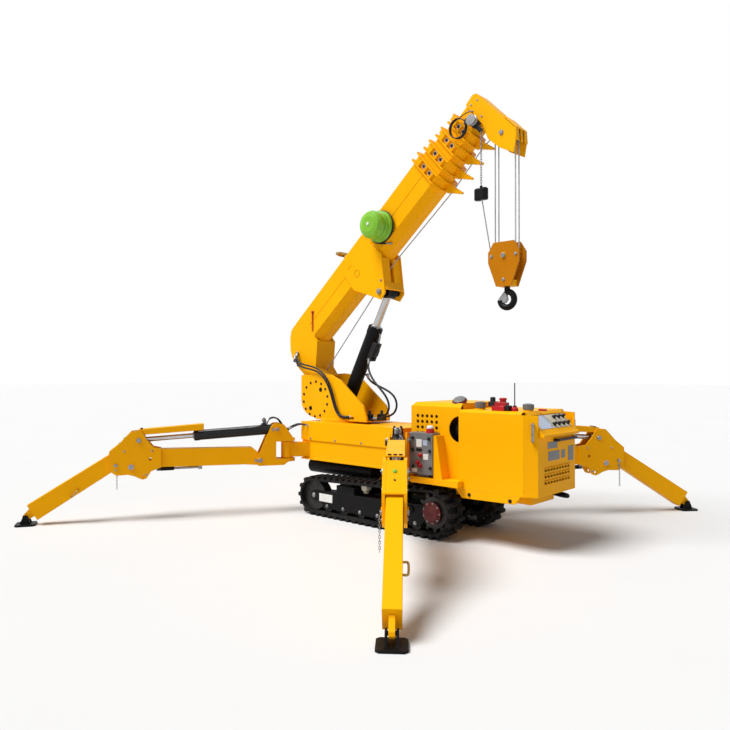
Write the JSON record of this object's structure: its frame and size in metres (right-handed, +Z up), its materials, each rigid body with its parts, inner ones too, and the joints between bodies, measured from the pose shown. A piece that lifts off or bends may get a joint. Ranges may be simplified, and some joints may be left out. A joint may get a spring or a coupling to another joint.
{
  "type": "tracked spider crane",
  "caption": "Compact tracked spider crane with telescopic boom on a slewing turret, hook block on rope falls, engine hood and fold-out outriggers.",
  "frame": {"origin": "on the ground, midway between the four outrigger feet", "axes": "+X from the turret towards the engine hood, +Y to the far side, +Z up"},
  "size_m": [4.0768, 4.7936, 3.4724],
  "materials": {
    "yellow_paint": "glossy enamel",
    "black_paint": "satin",
    "track_rubber": "matt",
    "bright_steel": "polished",
    "bare_steel": "brushed",
    "red_paint": "satin",
    "engine_iron": "matt",
    "grey_panel": "satin",
    "black_plastic": "matt",
    "green_plastic": "gloss",
    "rope_steel": "oiled"
  },
  "bodies": {
    "base": {"main_frame": "yellow_paint", "track_frames": "black_paint", "tracks": "track_rubber", "track_wheels": "bare_steel", "drive_covers": "red_paint", "side_tubes": "black_paint", "deck": "yellow_paint", "hood_front": "yellow_paint", "hood_sides": "yellow_paint", "hood_roof": "yellow_paint", "hood_rear": "yellow_paint", "console": "yellow_paint", "engine": "engine_iron", "control_box": "grey_panel", "roof_caps": "grey_panel", "roof_fittings": "black_plastic"},
    "turret": {"turret": "yellow_paint", "winch": "bare_steel"},
    "boom": {"boom_base": "yellow_paint", "cable_reel": "green_plastic"},
    "section_2": {"boom_2": "yellow_paint"},
    "section_3": {"boom_3": "yellow_paint"},
    "section_4": {"boom_4": "yellow_paint"},
    "section_5": {"boom_5": "yellow_paint", "head_sheaves": "bare_steel"},
    "lift_barrel": {"lift_barrel": "black_paint"},
    "lift_rod": {"lift_rod": "bright_steel"},
    "hook_block": {"hook_block": "yellow_paint", "rope_falls": "rope_steel"},
    "hook": {"hook": "black_paint"},
    "bracket_fn": {"bracket_fn": "yellow_paint"},
    "arm_fn": {"arm_fn": "yellow_paint"},
    "leg_fn": {"leg_fn": "yellow_paint"},
    "pad_fn": {"pad_fn": "black_paint"},
    "ram_fn": {"ram_fn": "black_paint"},
    "rod_fn": {"rod_fn": "bright_steel"},
    "bracket_ff": {"bracket_ff": "yellow_paint"},
    "arm_ff": {"arm_ff": "yellow_paint"},
    "leg_ff": {"leg_ff": "yellow_paint"},
    "pad_ff": {"pad_ff": "black_paint"},
    "ram_ff": {"ram_ff": "black_paint"},
    "rod_ff": {"rod_ff": "bright_steel"},
    "bracket_rn": {"bracket_rn": "yellow_paint"},
    "arm_rn": {"arm_rn": "yellow_paint"},
    "leg_rn": {"leg_rn": "yellow_paint"},
    "pad_rn": {"pad_rn": "black_paint"},
    "ram_rn": {"ram_rn": "black_paint"},
    "rod_rn": {"rod_rn": "bright_steel"},
    "bracket_rf": {"bracket_rf": "yellow_paint"},
    "arm_rf": {"arm_rf": "yellow_paint"},
    "leg_rf": {"leg_rf": "yellow_paint"},
    "pad_rf": {"pad_rf": "black_paint"},
    "ram_rf": {"ram_rf": "black_paint"},
    "rod_rf": {"rod_rf": "bright_steel"}
  },
  "joints": [
    {"name": "slew", "type": "hinge", "parent": "base", "child": "turret", "pos_m": [-0.43, 0, 0.83], "axis": [0, 0, 1], "continuous": true},
    {"name": "luff", "type": "hinge", "parent": "turret", "child": "boom", "pos_m": [-0.7, 0, 1.225], "axis": [0, -1, 0], "range_deg": [-40.6, 36]},
    {"name": "extend_2", "type": "slide", "parent": "boom", "child": "section_2", "axis": [0.7593, 0, 0.6508], "range_m": [0, 1.6]},
    {"name": "extend_3", "type": "slide", "parent": "section_2", "child": "section_3", "axis": [0.7593, 0, 0.6508], "range_m": [0, 1.6]},
    {"name": "extend_4", "type": "slide", "parent": "section_3", "child": "section_4", "axis": [0.7593, 0, 0.6508], "range_m": [0, 1.6]},
    {"name": "extend_5", "type": "slide", "parent": "section_4", "child": "section_5", "axis": [0.7593, 0, 0.6508], "range_m": [0, 1.6]},
    {"name": "lift_tilt", "type": "hinge", "parent": "turret", "child": "lift_barrel", "pos_m": [-0.445, 0, 0.92], "axis": [0, -1, 0], "range_deg": [-37.7, 33.6]},
    {"name": "lift_stroke", "type": "slide", "parent": "lift_barrel", "child": "lift_rod", "axis": [0.4603, 0, 0.8878], "range_m": [-0.26, 0.231]},
    {"name": "hook_swing", "type": "hinge", "parent": "section_5", "child": "hook_block", "pos_m": [1.30329, 0, 3.11192], "axis": [0, -1, 0], "range_deg": [-37, 41.6]},
    {"name": "hook_swivel", "type": "hinge", "parent": "hook_block", "child": "hook", "pos_m": [1.30329, 0, 1.94492], "axis": [0, 0, 1], "continuous": true},
    {"name": "swing_fn", "type": "hinge", "parent": "base", "child": "bracket_fn", "pos_m": [-0.797, -0.405, 0.6], "axis": [0, 0, -1], "range_deg": [-28, 50]},
    {"name": "raise_fn", "type": "hinge", "parent": "bracket_fn", "child": "arm_fn", "pos_m": [-0.93027, -0.62592, 0.479], "axis": [-0.8563, 0.5165, 0], "range_deg": [-6, 60]},
    {"name": "fold_fn", "type": "hinge", "parent": "arm_fn", "child": "leg_fn", "pos_m": [-1.50672, -1.58151, 0.463], "axis": [0.8563, -0.5165, 0], "range_deg": [0, 140]},
    {"name": "tilt_fn", "type": "hinge", "parent": "leg_fn", "child": "pad_fn", "pos_m": [-1.93957, -2.29906, 0.066], "axis": [-0.8563, 0.5165, 0], "range_deg": [-15, 15]},
    {"name": "ram_turn_fn", "type": "hinge", "parent": "bracket_fn", "child": "ram_fn", "pos_m": [-0.8502, -0.4932, 0.759], "axis": [-0.8563, 0.5165, 0], "range_deg": [-6.7, 58.3]},
    {"name": "ram_stroke_fn", "type": "slide", "parent": "ram_fn", "child": "rod_fn", "axis": [-0.5157, -0.8549, -0.057], "range_m": [-0.33, 0.042]},
    {"name": "swing_ff", "type": "hinge", "parent": "base", "child": "bracket_ff", "pos_m": [-0.797, 0.405, 0.6], "axis": [0, 0, 1], "range_deg": [-28, 50]},
    {"name": "raise_ff", "type": "hinge", "parent": "bracket_ff", "child": "arm_ff", "pos_m": [-0.93027, 0.62592, 0.479], "axis": [0.8563, 0.5165, 0], "range_deg": [-6, 60]},
    {"name": "fold_ff", "type": "hinge", "parent": "arm_ff", "child": "leg_ff", "pos_m": [-1.50672, 1.58151, 0.463], "axis": [-0.8563, -0.5165, 0], "range_deg": [0, 140]},
    {"name": "tilt_ff", "type": "hinge", "parent": "leg_ff", "child": "pad_ff", "pos_m": [-1.93957, 2.29906, 0.066], "axis": [0.8563, 0.5165, 0], "range_deg": [-15, 15]},
    {"name": "ram_turn_ff", "type": "hinge", "parent": "bracket_ff", "child": "ram_ff", "pos_m": [-0.8502, 0.4932, 0.759], "axis": [0.8563, 0.5165, 0], "range_deg": [-6.7, 58.3]},
    {"name": "ram_stroke_ff", "type": "slide", "parent": "ram_ff", "child": "rod_ff", "axis": [-0.5157, 0.8549, -0.057], "range_m": [-0.33, 0.042]},
    {"name": "swing_rn", "type": "hinge", "parent": "base", "child": "bracket_rn", "pos_m": [0.549, -0.405, 0.6], "axis": [0, 0, -1], "range_deg": [0, 38]},
    {"name": "raise_rn", "type": "hinge", "parent": "bracket_rn", "child": "arm_rn", "pos_m": [0.71137, -0.6055, 0.479], "axis": [-0.7771, -0.6293, 0], "range_deg": [-6, 60]},
    {"name": "fold_rn", "type": "hinge", "parent": "arm_rn", "child": "leg_rn", "pos_m": [1.41369, -1.4728, 0.463], "axis": [0.7771, 0.6293, 0], "range_deg": [0, 140]},
    {"name": "tilt_rn", "type": "hinge", "parent": "leg_rn", "child": "pad_rn", "pos_m": [1.94106, -2.12405, 0.066], "axis": [-0.7771, -0.6293, 0], "range_deg": [-15, 15]},
    {"name": "ram_turn_rn", "type": "hinge", "parent": "bracket_rn", "child": "ram_rn", "pos_m": [0.61382, -0.48505, 0.759], "axis": [-0.7771, -0.6293, 0], "range_deg": [-6.7, 58.3]},
    {"name": "ram_stroke_rn", "type": "slide", "parent": "ram_rn", "child": "rod_rn", "axis": [0.6283, -0.7759, -0.057], "range_m": [-0.33, 0.042]},
    {"name": "swing_rf", "type": "hinge", "parent": "base", "child": "bracket_rf", "pos_m": [0.549, 0.405, 0.6], "axis": [0, 0, 1], "range_deg": [0, 38]},
    {"name": "raise_rf", "type": "hinge", "parent": "bracket_rf", "child": "arm_rf", "pos_m": [0.71137, 0.6055, 0.479], "axis": [0.7771, -0.6293, 0], "range_deg": [-6, 60]},
    {"name": "fold_rf", "type": "hinge", "parent": "arm_rf", "child": "leg_rf", "pos_m": [1.41369, 1.4728, 0.463], "axis": [-0.7771, 0.6293, 0], "range_deg": [0, 140]},
    {"name": "tilt_rf", "type": "hinge", "parent": "leg_rf", "child": "pad_rf", "pos_m": [1.94106, 2.12405, 0.066], "axis": [0.7771, -0.6293, 0], "range_deg": [-15, 15]},
    {"name": "ram_turn_rf", "type": "hinge", "parent": "bracket_rf", "child": "ram_rf", "pos_m": [0.61382, 0.48505, 0.759], "axis": [0.7771, -0.6293, 0], "range_deg": [-6.7, 58.3]},
    {"name": "ram_stroke_rf", "type": "slide", "parent": "ram_rf", "child": "rod_rf", "axis": [0.6283, 0.7759, -0.057], "range_m": [-0.33, 0.042]}
  ],
  "couplings": [
    {"joint": "extend_3", "follows": "extend_2", "ratio": 1},
    {"joint": "extend_4", "follows": "extend_2", "ratio": 1},
    {"joint": "extend_5", "follows": "extend_2", "ratio": 1},
    {"joint": "lift_tilt", "follows": "luff", "ratio": 0.905},
    {"joint": "lift_stroke", "follows": "luff", "m_per_rad": 0.3523},
    {"joint": "hook_swing", "follows": "luff", "ratio": -1},
    {"joint": "ram_turn_fn", "follows": "raise_fn", "ratio": 0.955},
    {"joint": "ram_stroke_fn", "follows": "raise_fn", "m_per_rad": -0.3053},
    {"joint": "ram_turn_ff", "follows": "raise_ff", "ratio": 0.955},
    {"joint": "ram_stroke_ff", "follows": "raise_ff", "m_per_rad": -0.3053},
    {"joint": "ram_turn_rn", "follows": "raise_rn", "ratio": 0.955},
    {"joint": "ram_stroke_rn", "follows": "raise_rn", "m_per_rad": -0.3053},
    {"joint": "ram_turn_rf", "follows": "raise_rf", "ratio": 0.955},
    {"joint": "ram_stroke_rf", "follows": "raise_rf", "m_per_rad": -0.3053}
  ]
}
